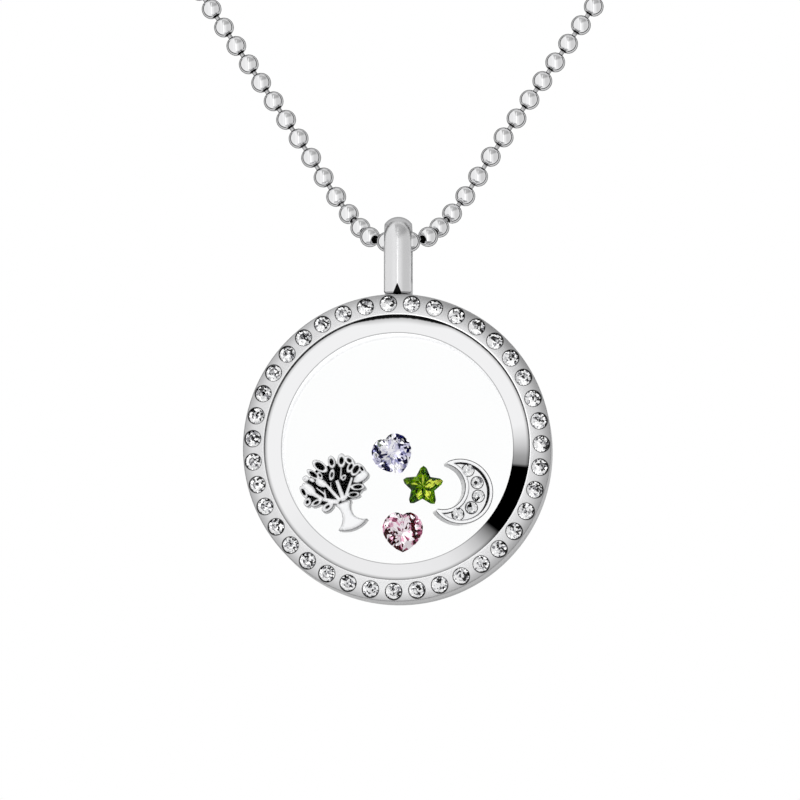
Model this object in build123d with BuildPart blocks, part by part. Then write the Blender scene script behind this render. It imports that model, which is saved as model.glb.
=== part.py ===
from build123d import *
import math
import os

# A round glass locket hanging on a ball chain.
# Millimetres, +Z up, -Y to the front, origin at the nape where the worn chain is held.

# Ball chain
bead_diameter = 1.98
bead_pitch = 2.36
bead_hole_diameter = 0.86
chain_wire_diameter = 0.44

# Right half of the chain's route, from the clasp round the neck to the bail
chain_route = [
    (14.0, -0.8, 0.0),
    (30.0, -6.0, -2.0),
    (46.0, -17.0, -5.5),
    (57.0, -33.0, -10.0),
    (60.5, -54.0, -17.5),
    (56.0, -76.0, -31.0),
    (44.0, -93.9, -49.7),
    (9.4, -106.45, -102.05),
    (6.2, -106.7, -107.2),
    (3.9, -108.5, -110.25),
    (2.25, -112.0, -112.0),
]
bail_bend_radius = 2.3
bend_share = 0.45

# Barrel clasp at the nape
clasp_length = 10.0
clasp_diameter = 3.2
clasp_edge = 0.6
clasp_bore_diameter = 0.7
clasp_bore_depth = 1.6
clasp_wire_depth = 1.2
clasp_bead_gap = 0.38

# Bail loop, a band with a flat inside and a crowned outside
bail_width = 2.65
bail_inner_depth = 2.6
bail_crown_thickness = 1.3
bail_edge_thickness = 0.62
bail_opening_corner = 0.6
bail_bottom_edge = 0.3
bail_bead_clearance = 0.2
bail_foot_width = 1.9
bail_foot_depth = 1.35
bail_case_gap = 0.1

# Locket case, heights measured along its axis from the plane that hangs under the chain
case_diameter = 30.0
face_height = 3.7
back_height = 3.7
hang_height = 5.4
rim_width = 2.07
dome_radius = 4.0
face_edge = 0.32
back_edge = 0.7
bevel_width = 1.68
bevel_wall = 0.4
bevel_drop = 1.0
window_edge = 0.15
back_lip = 0.3
seam_gap = 0.05

# Screw joint between the two rings
skirt_wall = 1.35
thread_length = 1.6
thread_gap = 0.1

# Window glasses
glass_hold = 0.65
glass_thickness = 0.9
glass_gap = 0.05

# Bezel stones
bezel_stone_count = 39
bezel_stone_diameter = 1.55
bezel_stone_inset = 0.97
bezel_stone_sink = 0.12
bezel_stone_turn = -1.25
seat_gap = 0.03

# Cut of the round stones, as shares of the diameter
table_share = 0.56
crown_share = 0.15
girdle_share = 0.03
pavilion_share = 0.42
star_reach = 0.78
lower_facet_reach = 0.25
round_sides = 16

# Loose stones: width across, and their depths as shares of it
heart_width = 3.95
star_width = 4.1
star_arms = 5
star_waist = 0.585
star_shoulder = 0.9
star_tip_spread = 9.5
fancy_crown_share = 0.13
fancy_pavilion_share = 0.38
rest_gap = 0.15

# Tree charm
tree_height = 7.67
tree_thickness = 1.4
tree_relief = 0.3

# Moon charm
moon_radius = 3.2
moon_bite_radius = 2.21
moon_bite_shift = 1.85
moon_thickness = 1.7
moon_outer_rim = 0.35
moon_inner_rim = 0.36
moon_recess = 0.3
moon_tip_fillet = 0.22
moon_stone_count = 5
moon_stone_diameter = 1.14
moon_stone_step = 41.6
moon_stone_share = 0.52

# Places of the charms behind the glass: across and up as shares of its radius, turn, side lean, back lean
tree_place = (-0.517, -0.353, 0.0, -5.0, -4.0)
lavender_place = (-0.046, -0.037, 26.0, 0.0, 0.0)
pink_place = (0.034, -0.672, 0.0, 0.0, 0.0)
star_place = (0.200, -0.299, -2.0, 0.0, 0.0)
moon_place = (0.482, -0.348, -13.0, 13.0, -2.0)

# Heart outline, right half from the notch to the tip, as shares of the width
heart_half = [
    (0.00, 0.430),
    (0.10, 0.480),
    (0.20, 0.490),
    (0.33, 0.430),
    (0.44, 0.310),
    (0.50, 0.140),
    (0.485, -0.030),
    (0.42, -0.170),
    (0.31, -0.300),
    (0.16, -0.420),
    (0.00, -0.500),
]

# Tree leaves as shares of the tree's height: across, up, length, width, turn, hollow share
tree_leaves = [
    (-0.187, 0.340, 0.230, 0.125, -36, 0.62),
    (-0.037, 0.392, 0.165, 0.095, 100, 0.52),
    (0.090, 0.408, 0.185, 0.105, 88, 0.50),
    (0.190, 0.410, 0.150, 0.095, -42, 0.45),
    (0.208, 0.325, 0.165, 0.085, 62, 0.50),
    (0.275, 0.292, 0.185, 0.110, 58, 0.60),
    (0.352, 0.300, 0.140, 0.070, -60, 0.45),
    (0.342, 0.193, 0.215, 0.105, 33, 0.00),
    (0.300, 0.067, 0.190, 0.085, 2, 0.58),
    (0.245, -0.033, 0.165, 0.075, 5, 0.62),
    (-0.033, 0.228, 0.150, 0.070, 80, 0.45),
    (0.120, 0.190, 0.085, 0.060, 60, 0.40),
    (-0.168, 0.122, 0.160, 0.095, -25, 0.00),
    (-0.328, 0.045, 0.215, 0.120, -42, 0.00),
    (-0.272, 0.235, 0.200, 0.085, -38, 0.60),
    (-0.185, 0.222, 0.110, 0.055, -60, 0.45),
    (-0.368, 0.185, 0.085, 0.075, 20, 0.00),
    (-0.290, 0.165, 0.085, 0.045, -30, 0.00),
    (-0.395, 0.010, 0.170, 0.070, -62, 0.55),
    (-0.345, -0.118, 0.115, 0.090, 65, 0.42),
    (-0.230, -0.130, 0.155, 0.075, 28, 0.48),
    (-0.085, -0.185, 0.175, 0.095, 38, 0.36),
]

# Tree branches as shares of the tree's height: start across, up, end across, up, widths at both ends
tree_branches = [
    (0.125, -0.110, 0.030, 0.155, 0.062, 0.046),
    (0.140, -0.080, 0.228, 0.190, 0.046, 0.028),
    (0.080, 0.170, 0.087, 0.330, 0.022, 0.016),
    (0.080, -0.110, -0.115, 0.110, 0.050, 0.038),
    (-0.040, 0.030, -0.048, 0.130, 0.020, 0.010),
    (0.060, -0.130, -0.150, -0.085, 0.062, 0.046),
    (-0.150, -0.085, -0.290, 0.000, 0.046, 0.060),
    (-0.112, -0.080, -0.125, 0.030, 0.036, 0.014),
    (-0.125, -0.020, -0.230, 0.060, 0.026, 0.014),
    (0.245, 0.130, 0.320, 0.160, 0.018, 0.034),
]

# Ground of the tree's crown and the trunk's outline, as shares of the tree's height
tree_crown = [
    (-0.405, 0.000),
    (-0.330, 0.190),
    (-0.230, 0.310),
    (-0.050, 0.360),
    (0.160, 0.400),
    (0.300, 0.320),
    (0.355, 0.180),
    (0.355, 0.040),
    (0.290, -0.050),
    (0.170, -0.090),
    (0.020, -0.150),
    (-0.180, -0.150),
    (-0.330, -0.110),
]
trunk_left_side = [(0.010, -0.165), (0.108, -0.330), (0.055, -0.485)]
trunk_root = [(0.055, -0.485), (0.235, -0.475), (0.422, -0.342)]
trunk_right_side = [(0.422, -0.342), (0.275, -0.310), (0.215, -0.100)]

os.makedirs("parts", exist_ok=True)

# Sizes that follow from the ones above
case_radius = case_diameter / 2
lip_radius = case_radius - rim_width
window_radius = lip_radius - bevel_width
glass_radius = window_radius + glass_hold
thread_radius = case_radius - skirt_wall - thread_gap
bead_radius = bead_diameter / 2
hang_y, hang_z = chain_route[-1][1:]
front_glass_top = face_height - bevel_wall - bevel_drop - window_edge - glass_gap
front_glass_bottom = front_glass_top - glass_thickness
back_glass_bottom = glass_gap + back_lip - back_height
back_glass_top = back_glass_bottom + glass_thickness
ledge_height = front_glass_bottom - thread_gap
spigot_height = ledge_height - thread_gap
seam_height = spigot_height - thread_length
pocket_radius = glass_radius + glass_gap
bail_inner_radius = bail_inner_depth / 2
bail_outer_radius = bail_inner_radius + bail_crown_thickness

# The locket hangs so that its top edge is hang_height under the chain
locket_centre = Vector(0, hang_y, hang_z - hang_height - case_radius)
locket_plane = Plane(origin=locket_centre, x_dir=(1, 0, 0), z_dir=(0, -1, 0))
section_plane = Plane(origin=locket_centre, x_dir=(1, 0, 0), z_dir=(0, 0, -1))
locket_axis = Axis(locket_centre, (0, -1, 0))


def save(piece, name):
    """Label a finished piece and write it."""
    piece.part.label = name
    export_step(piece.part, f"parts/{name}.step")


def ring_point(radius, turn, height=0.0):
    """A point on a circle, with turn in degrees."""
    angle = math.radians(turn)
    return Vector(radius * math.cos(angle), radius * math.sin(angle), height)


def charm_plane(place, height):
    """The plane of a charm's back face, height over the locket's hanging plane."""
    across, up, turn, side_lean, back_lean = place
    place_on_face = Location((across * glass_radius, up * glass_radius, height))
    return Plane(locket_plane.location * place_on_face * Rotation(back_lean, side_lean, turn))


def cut_stone(outline, crown, girdle, pavilion):
    """A cut stone on its girdle plane: table, star, kite, upper, girdle and pavilion facets."""
    corner_share = math.cos(2 * math.pi / round_sides)
    count = len(outline)

    def ring(indices, share, height):
        return [Vector(outline[i].X * share, outline[i].Y * share, height) for i in indices]

    mains = range(0, count, 2)
    betweens = range(1, count, 2)
    star_height = crown * (1 - star_reach * corner_share) / (1 - table_share)
    deep_height = -girdle - pavilion * (1 - lower_facet_reach * corner_share)
    table = ring(mains, table_share, crown)
    stars = ring(betweens, star_reach, star_height)
    top = ring(range(count), 1, 0)
    bottom = ring(range(count), 1, -girdle)
    deeps = ring(betweens, lower_facet_reach, deep_height)
    culet = Vector(0, 0, -girdle - pavilion)
    facets = [table]
    for k in range(count // 2):
        main, between, after = 2 * k, 2 * k + 1, (2 * k + 2) % count
        table_after = table[(k + 1) % len(table)]
        facets.append([table[k], stars[k], table_after])
        facets.append([table[k], stars[k - 1], top[main]])
        facets.append([table[k], top[main], stars[k]])
        facets.append([stars[k], top[main], top[between]])
        facets.append([stars[k], top[between], top[after]])
        facets.append([top[main], bottom[main], bottom[between], top[between]])
        facets.append([top[between], bottom[between], bottom[after], top[after]])
        facets.append([deeps[k], bottom[between], bottom[main]])
        facets.append([deeps[k], bottom[after], bottom[between]])
        facets.append([culet, bottom[main], deeps[k - 1]])
        facets.append([culet, deeps[k], bottom[main]])
    return Solid(Shell([Face(Wire.make_polygon(corners)) for corners in facets]))


def round_stone(diameter):
    """A round cut stone with eight main facets, standing on its girdle plane."""
    outline = [ring_point(diameter / 2, 360 / round_sides * i) for i in range(round_sides)]
    return cut_stone(outline, crown_share * diameter, girdle_share * diameter, pavilion_share * diameter)


def stone_seat(diameter, opening):
    """The hollow that a round stone sits in, open towards its table by opening."""
    radius = diameter / 2 + seat_gap
    girdle = girdle_share * diameter + seat_gap
    depth = girdle + pavilion_share * diameter + seat_gap
    with BuildPart() as seat:
        with BuildSketch(Plane.XZ):
            Polygon((0, opening), (0, -depth), (radius, -girdle), (radius, opening), align=None)
        revolve(axis=Axis.Z)
    return seat.part


# Back ring with its spigot, and the bail soldered to it
bail_top_centre = hang_z + bead_radius + bail_bead_clearance - bail_inner_radius
bail_bottom = locket_centre.Z + case_radius + bail_case_gap
bail_leg = bail_top_centre - bail_bottom
bail_plane = Plane(origin=(0, hang_y, bail_top_centre), x_dir=(1, 0, 0), z_dir=(0, 0, -1))
bail_side_plane = Plane(origin=bail_plane.origin, x_dir=(0, 1, 0), z_dir=(1, 0, 0))

with BuildSketch() as bail_section:
    with BuildLine():
        half = bail_width / 2
        shoulder = bail_inner_radius + bail_edge_thickness
        Polyline((-half, shoulder), (-half, 0), (half, 0), (half, shoulder))
        ThreePointArc((half, shoulder), (0, bail_outer_radius), (-half, shoulder))
    make_face()

with BuildPart() as bail_loop:
    with BuildSketch(bail_plane):
        add(bail_section.sketch)
        mirror(bail_section.sketch, about=Plane.XZ)
    extrude(amount=bail_leg)
    fillet(bail_loop.faces().sort_by(Axis.Z)[0].edges(), bail_bottom_edge)
    with BuildSketch(bail_plane):
        add(bail_section.sketch)
    revolve(axis=Axis(bail_plane.origin, (-1, 0, 0)), revolution_arc=180)
    with BuildSketch(bail_side_plane):
        opening_height = bail_leg - bail_crown_thickness
        Circle(bail_inner_radius)
        with Locations((0, -opening_height / 2)):
            Rectangle(bail_inner_depth, opening_height)
        fillet(vertices().group_by(Axis.Y)[0], bail_opening_corner)
    extrude(amount=bail_width, both=True, mode=Mode.SUBTRACT)

foot_back = bail_foot_depth / 2 - seam_height + seam_gap
foot_sink = 0.5
foot_bottom = locket_centre.Z + case_radius - foot_sink
foot_top = bail_bottom + bail_crown_thickness - seam_gap

with BuildPart() as case_back:
    with BuildSketch(section_plane):
        with BuildLine():
            back = -back_height
            ridge = back + back_edge
            lip_top = back + back_lip
            seam = seam_height - seam_gap
            Polyline(
                (case_radius, ridge),
                (case_radius, seam),
                (thread_radius, seam),
                (thread_radius, spigot_height),
                (pocket_radius, spigot_height),
                (pocket_radius, lip_top),
                (window_radius, lip_top),
                (window_radius, back + window_edge),
                (window_radius + window_edge, back),
                (case_radius - back_edge, back),
            )
            CenterArc((case_radius - back_edge, ridge), back_edge, 270, 90)
        make_face()
    revolve(axis=locket_axis)
    with BuildSketch(Plane.XY.offset(foot_bottom)):
        with Locations((0, hang_y + foot_back)):
            RectangleRounded(bail_foot_width, bail_foot_depth, window_edge)
    extrude(amount=foot_top - foot_bottom)
    add(bail_loop.part)
save(case_back, "case_back")

# Front ring: domed face, lip, polished cone, glass pocket and the screw bore
bezel_stone_radius = case_radius - bezel_stone_inset
stone_tilt = math.degrees(math.asin((bezel_stone_radius - lip_radius) / dome_radius))
stone_face = face_height - dome_radius * (1 - math.cos(math.radians(stone_tilt)))
edge_radius = case_radius - face_edge / 2
edge_tilt = math.asin((edge_radius - lip_radius) / dome_radius)
edge_height = face_height - dome_radius * (1 - math.cos(edge_tilt))


def seat_plane(index):
    """The plane of one bezel stone's girdle, with its normal square to the domed face."""
    turn = 90 + bezel_stone_turn + 360 / bezel_stone_count * (index + 0.5)
    outward = math.radians(turn)
    tilt = math.radians(stone_tilt)
    reach = bezel_stone_radius - bezel_stone_sink * math.sin(tilt)
    height = stone_face - bezel_stone_sink * math.cos(tilt)
    origin = locket_plane.from_local_coords(ring_point(reach, turn, height))
    normal = Vector(
        math.sin(tilt) * math.cos(outward), -math.cos(tilt), math.sin(tilt) * math.sin(outward)
    )
    across = Vector(-math.sin(outward), 0, math.cos(outward))
    return Plane(origin=origin, x_dir=across, z_dir=normal)


seat_planes = [seat_plane(i) for i in range(bezel_stone_count)]
bezel_seat = stone_seat(bezel_stone_diameter, bezel_stone_diameter)

with BuildPart() as bezel:
    with BuildSketch(section_plane):
        with BuildLine():
            pocket_top = front_glass_top + glass_gap
            bore_radius = thread_radius + thread_gap
            dome_middle = math.radians(stone_tilt)
            ThreePointArc(
                (lip_radius, face_height),
                (lip_radius + dome_radius * math.sin(dome_middle), stone_face),
                (edge_radius, edge_height),
            )
            Spline(
                (edge_radius, edge_height),
                (case_radius, edge_height - face_edge),
                tangents=[(math.cos(edge_tilt), -math.sin(edge_tilt)), (0, -1)],
            )
            Polyline(
                (case_radius, edge_height - face_edge),
                (case_radius, seam_height),
                (bore_radius, seam_height),
                (bore_radius, ledge_height),
                (pocket_radius, ledge_height),
                (pocket_radius, pocket_top),
                (window_radius, pocket_top),
                (window_radius, pocket_top + window_edge),
                (lip_radius - window_edge / 2, face_height - bevel_wall),
                (lip_radius, face_height),
            )
        make_face()
    revolve(axis=locket_axis)
    with Locations(*seat_planes):
        add(bezel_seat, mode=Mode.SUBTRACT)
save(bezel, "bezel")

# Window glasses
for glass_name, glass_bottom in (("front_glass", front_glass_bottom), ("back_glass", back_glass_bottom)):
    with BuildPart() as window_glass:
        with BuildSketch(locket_plane.offset(glass_bottom)):
            Circle(glass_radius)
        extrude(amount=glass_thickness)
        chamfer(window_glass.edges().filter_by(GeomType.CIRCLE), length=window_edge / 2)
    save(window_glass, glass_name)

# Stones of the bezel
bezel_brilliant = round_stone(bezel_stone_diameter)
for number, plane in enumerate(seat_planes, start=1):
    with BuildPart() as bezel_stone:
        with Locations(plane):
            add(bezel_brilliant)
    save(bezel_stone, f"bezel_stone_{number:02d}")

# Loose hearts and star, their points resting over the back glass
heart_right = [Vector(x, y) for x, y in heart_half]
heart_left = [Vector(-x, y) for x, y in heart_half[1:-1]]
heart_outline = [point * heart_width for point in heart_right + heart_left[::-1]]
star_outline = []
star_radius = star_width / 2
star_side_radius = star_radius * star_shoulder
for arm in range(star_arms):
    tip_turn = 90 + 360 / star_arms * arm
    star_outline += [
        ring_point(star_radius * star_waist, tip_turn - 180 / star_arms),
        ring_point(star_side_radius, tip_turn - star_tip_spread),
        ring_point(star_radius, tip_turn),
        ring_point(star_side_radius, tip_turn + star_tip_spread),
    ]

loose_stones = (
    ("heart_lavender", heart_outline, heart_width, lavender_place),
    ("heart_pink", heart_outline, heart_width, pink_place),
    ("star_green", star_outline, star_width, star_place),
)
for stone_name, stone_outline, stone_width, stone_place in loose_stones:
    pavilion_depth = fancy_pavilion_share * stone_width
    girdle_depth = girdle_share * stone_width
    girdle_height = back_glass_top + rest_gap + pavilion_depth + girdle_depth
    with BuildPart() as loose_stone:
        with Locations(charm_plane(stone_place, girdle_height)):
            add(cut_stone(stone_outline, fancy_crown_share * stone_width, girdle_depth, pavilion_depth))
    save(loose_stone, stone_name)


def tree_points(shares):
    """Points of the tree, from shares of its height."""
    return [Vector(*point) * tree_height for point in shares]


def leaf(row, share=1.0, mode=Mode.ADD):
    """One oval leaf of the tree, at a share of its size."""
    across, up, length, width, turn = row[:5]
    with Locations(Location((across * tree_height, up * tree_height, 0), turn)):
        Ellipse(length * tree_height / 2 * share, width * tree_height / 2 * share, mode=mode)


def branch(row):
    """One tapered branch of the tree."""
    start, end = tree_points([row[0:2], row[2:4]])
    side = (end - start).normalized().rotate(Axis.Z, 90) * (tree_height / 2)
    Polygon(
        start + side * row[4],
        start - side * row[4],
        end - side * row[5],
        end + side * row[5],
        align=None,
    )


# Tree charm: a plate with raised trunk, branches and outlined leaves over a sunken ground
tree_lean = math.radians(math.hypot(tree_place[3], tree_place[4]))
tree_seat = back_glass_top + rest_gap + tree_height / 2 * math.sin(tree_lean)
tree_plane = charm_plane(tree_place, tree_seat)

with BuildSketch() as tree_trunk:
    with BuildLine():
        ThreePointArc(*tree_points(trunk_left_side))
        ThreePointArc(*tree_points(trunk_root))
        ThreePointArc(*tree_points(trunk_right_side))
        Line(*tree_points([trunk_right_side[-1], trunk_left_side[0]]))
    make_face()

with BuildSketch() as tree_raised:
    for row in tree_leaves:
        leaf(row)
    for row in tree_leaves:
        if row[5] > 0:
            leaf(row, row[5], Mode.SUBTRACT)
    for row in tree_branches:
        branch(row)
    add(tree_trunk.sketch)

with BuildPart() as tree_charm:
    with BuildSketch(tree_plane):
        Polygon(*tree_points(tree_crown), align=None)
        for row in tree_leaves:
            leaf(row)
        add(tree_trunk.sketch)
    extrude(amount=tree_thickness - tree_relief)
    with BuildSketch(tree_plane.offset(tree_thickness - tree_relief)):
        add(tree_raised.sketch)
    extrude(amount=tree_relief)
save(tree_charm, "tree_charm")

# Moon charm: a crescent with a sunken bed that holds its stones
moon_lean = math.radians(math.hypot(moon_place[3], moon_place[4]))
moon_seat = back_glass_top + rest_gap + moon_radius * math.sin(moon_lean)
moon_plane = charm_plane(moon_place, moon_seat)
moon_bed = moon_thickness - moon_recess
bed_outer = moon_radius - moon_outer_rim
bed_bite = moon_bite_radius + moon_inner_rim


def moon_stone_place(index):
    """Where one moon stone lies, midway across the bed."""
    turn = (index - (moon_stone_count - 1) / 2) * moon_stone_step
    swing = moon_bite_shift * math.cos(math.radians(turn))
    reach_in = math.sqrt(swing**2 + bed_bite**2 - moon_bite_shift**2) - swing
    return ring_point(reach_in + (bed_outer - reach_in) * moon_stone_share, turn, moon_bed)


moon_stone_places = [moon_stone_place(i) for i in range(moon_stone_count)]
moon_seat_cut = stone_seat(moon_stone_diameter, moon_stone_diameter)

with BuildPart() as moon_charm:
    with BuildSketch(moon_plane):
        Circle(moon_radius)
        with Locations((-moon_bite_shift, 0)):
            Circle(moon_bite_radius, mode=Mode.SUBTRACT)
        fillet(vertices(), moon_tip_fillet)
    extrude(amount=moon_thickness)
    with BuildSketch(moon_plane.offset(moon_bed)):
        Circle(bed_outer)
        with Locations((-moon_bite_shift, 0)):
            Circle(bed_bite, mode=Mode.SUBTRACT)
    extrude(amount=moon_recess, mode=Mode.SUBTRACT)
    with Locations(*[moon_plane * Location(place) for place in moon_stone_places]):
        add(moon_seat_cut, mode=Mode.SUBTRACT)
save(moon_charm, "moon_charm")

moon_brilliant = round_stone(moon_stone_diameter)
for number, place in enumerate(moon_stone_places, start=1):
    with BuildPart() as moon_stone:
        with Locations(moon_plane * Location(place)):
            add(moon_brilliant)
    save(moon_stone, f"moon_stone_{number}")

# Barrel clasp, with a bore at each end for the chain's wire
with BuildPart() as clasp:
    with BuildSketch(Plane.YZ.offset(-clasp_length / 2)):
        Circle(clasp_diameter / 2)
    extrude(amount=clasp_length)
    fillet(clasp.edges().filter_by(GeomType.CIRCLE), clasp_edge)
    for side in (-1, 1):
        with BuildSketch(Plane.YZ.offset(side * clasp_length / 2)):
            Circle(clasp_bore_diameter / 2)
        extrude(amount=-side * clasp_bore_depth, mode=Mode.SUBTRACT)
save(clasp, "clasp")

# Chain wire: straight runs joined by tangent arcs, out of the clasp, through the bail and back
wire_start = (clasp_length / 2 - clasp_wire_depth, 0, 0)
right_points = [wire_start] + chain_route
left_points = [(-x, y, z) for x, y, z in reversed(right_points)]


def bend_radius(before, corner, after):
    """The largest arc that a corner's shorter run allows."""
    run_in = Vector(corner) - Vector(before)
    run_out = Vector(after) - Vector(corner)
    half_turn = math.radians(run_in.get_angle(run_out)) / 2
    return bend_share * min(run_in.length, run_out.length) / math.tan(half_turn)


bends = [bend_radius(*right_points[i : i + 3]) for i in range(len(right_points) - 2)]
bends.append(bail_bend_radius)
with BuildLine() as chain_path:
    FilletPolyline(*right_points, *left_points, radius=bends + bends[::-1])
path_wire = chain_path.wire()
path_length = path_wire.length

with BuildPart() as chain_wire:
    with BuildSketch(Plane(origin=path_wire @ 0, z_dir=path_wire % 0)):
        Circle(chain_wire_diameter / 2)
    sweep(path=path_wire)
save(chain_wire, "chain_wire")

# Beads: threaded evenly to both sides of the bail, the last one beside the clasp
free_length = path_length / 2 - clasp_wire_depth - clasp_bead_gap - bead_radius
beads_a_side = round(free_length / bead_pitch + 0.5)
bead_step = free_length / (beads_a_side - 0.5)


def bead_location(distance):
    """A bead's place and direction, centred on the stretch of wire inside it."""
    before, middle, after = [
        path_wire.position_at(distance + step, position_mode=PositionMode.LENGTH)
        for step in (-bead_radius, 0, bead_radius)
    ]
    centre = (before + middle * 2 + after) / 4
    return Plane(origin=centre, z_dir=after - before).location


bead_places = [(i - beads_a_side + 0.5) * bead_step for i in range(2 * beads_a_side)]
bead_locations = [bead_location(path_length / 2 + place) for place in bead_places]

with BuildPart() as bead:
    Sphere(bead_radius)
    Cylinder(bead_hole_diameter / 2, bead_diameter * 2, mode=Mode.SUBTRACT)

with BuildPart() as chain_beads:
    with Locations(*bead_locations):
        add(bead.part)
save(chain_beads, "chain_beads")

wire_section = math.pi * (chain_wire_diameter / 2) ** 2
chain_length = path_length + clasp_length - 2 * clasp_wire_depth
print(f"chain wire {path_length:.1f} mm, whole chain {chain_length:.1f} mm")
print(f"wire volume {chain_wire.part.volume:.3f}, section times length {wire_section * path_length:.3f}")
print(f"{len(bead_locations)} beads {bead_step:.3f} mm apart, bend radii {[round(radius, 1) for radius in bends]}")
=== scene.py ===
import math

import bmesh
import bpy
import numpy as np
from mathutils import Matrix, Vector


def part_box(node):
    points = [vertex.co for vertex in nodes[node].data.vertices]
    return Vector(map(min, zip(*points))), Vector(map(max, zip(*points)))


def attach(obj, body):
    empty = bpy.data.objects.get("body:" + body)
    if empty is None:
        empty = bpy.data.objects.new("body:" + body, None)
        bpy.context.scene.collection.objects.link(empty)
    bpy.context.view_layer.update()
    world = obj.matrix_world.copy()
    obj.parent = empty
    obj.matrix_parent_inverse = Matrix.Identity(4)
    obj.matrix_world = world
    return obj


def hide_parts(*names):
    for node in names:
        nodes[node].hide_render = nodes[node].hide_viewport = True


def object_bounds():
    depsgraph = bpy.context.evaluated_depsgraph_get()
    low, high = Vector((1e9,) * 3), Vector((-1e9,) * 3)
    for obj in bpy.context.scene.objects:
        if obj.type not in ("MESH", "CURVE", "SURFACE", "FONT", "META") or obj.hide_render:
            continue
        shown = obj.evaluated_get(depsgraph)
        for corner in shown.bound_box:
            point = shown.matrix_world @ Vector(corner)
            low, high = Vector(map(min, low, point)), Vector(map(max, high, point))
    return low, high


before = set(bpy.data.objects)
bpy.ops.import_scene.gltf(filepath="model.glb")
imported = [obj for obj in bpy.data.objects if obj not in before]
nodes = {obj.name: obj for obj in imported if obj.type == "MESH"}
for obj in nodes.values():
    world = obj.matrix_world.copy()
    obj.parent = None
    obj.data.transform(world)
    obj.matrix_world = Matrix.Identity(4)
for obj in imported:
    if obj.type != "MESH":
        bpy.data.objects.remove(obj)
cad_low, cad_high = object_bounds()

# Units and the places that the CAD gives
MM = 0.001
HANG_PLANE_Y = -0.112
ring_low, ring_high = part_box("bezel")
case_back_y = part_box("case_back")[1].y
centre = Vector((0, (case_back_y + ring_low.y) / 2, (ring_low.z + ring_high.z) / 2))
case_radius = (ring_high.x - ring_low.x) / 2
case_top = centre.z + case_radius
lip_radius = case_radius - 2.07 * MM
window_radius = lip_radius - 1.68 * MM

# The photograph's frame and the camera's angle to the locket
PHOTO_SIDE = 800
PIXELS_A_MM = 10.25
LOCKET_PIXEL = (398.4, 450.06)
CAMERA_YAW = math.radians(2.5)
CAMERA_PITCH = math.radians(5.2)
CAMERA_DISTANCE = 0.6
CAMERA_REACH = (0.01, 100)
SENSOR = 36.0


def make_camera():
    """A long lens a little to the right of the locket and below it."""
    forward = Vector((
        -math.sin(CAMERA_YAW) * math.cos(CAMERA_PITCH),
        math.cos(CAMERA_YAW) * math.cos(CAMERA_PITCH),
        math.sin(CAMERA_PITCH),
    ))
    right = forward.cross(Vector((0, 0, 1))).normalized()
    up = right.cross(forward)
    half = PHOTO_SIDE / 2
    aim = Vector((0, HANG_PLANE_Y, centre.z))
    aim += right * ((half - LOCKET_PIXEL[0]) / PIXELS_A_MM * MM)
    aim += up * ((LOCKET_PIXEL[1] - half) / PIXELS_A_MM * MM)
    data = bpy.data.cameras.new("camera")
    data.sensor_width = SENSOR
    data.lens = SENSOR * CAMERA_DISTANCE / (PHOTO_SIDE / PIXELS_A_MM * MM)
    data.clip_start, data.clip_end = CAMERA_REACH
    camera = bpy.data.objects.new("camera", data)
    camera.location = aim - forward * CAMERA_DISTANCE
    camera.rotation_mode = "QUATERNION"
    camera.rotation_quaternion = forward.to_track_quat("-Z", "Y")
    bpy.context.scene.collection.objects.link(camera)
    bpy.context.scene.camera = camera


# A mix node's sockets: factor, first and second, and its result
COLOUR_SOCKETS = (0, 6, 7)
COLOUR_RESULT = 2
NUMBER_SOCKETS = (0, 2, 3)
NUMBER_RESULT = 0
BEVEL_SAMPLES = 6


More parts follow.
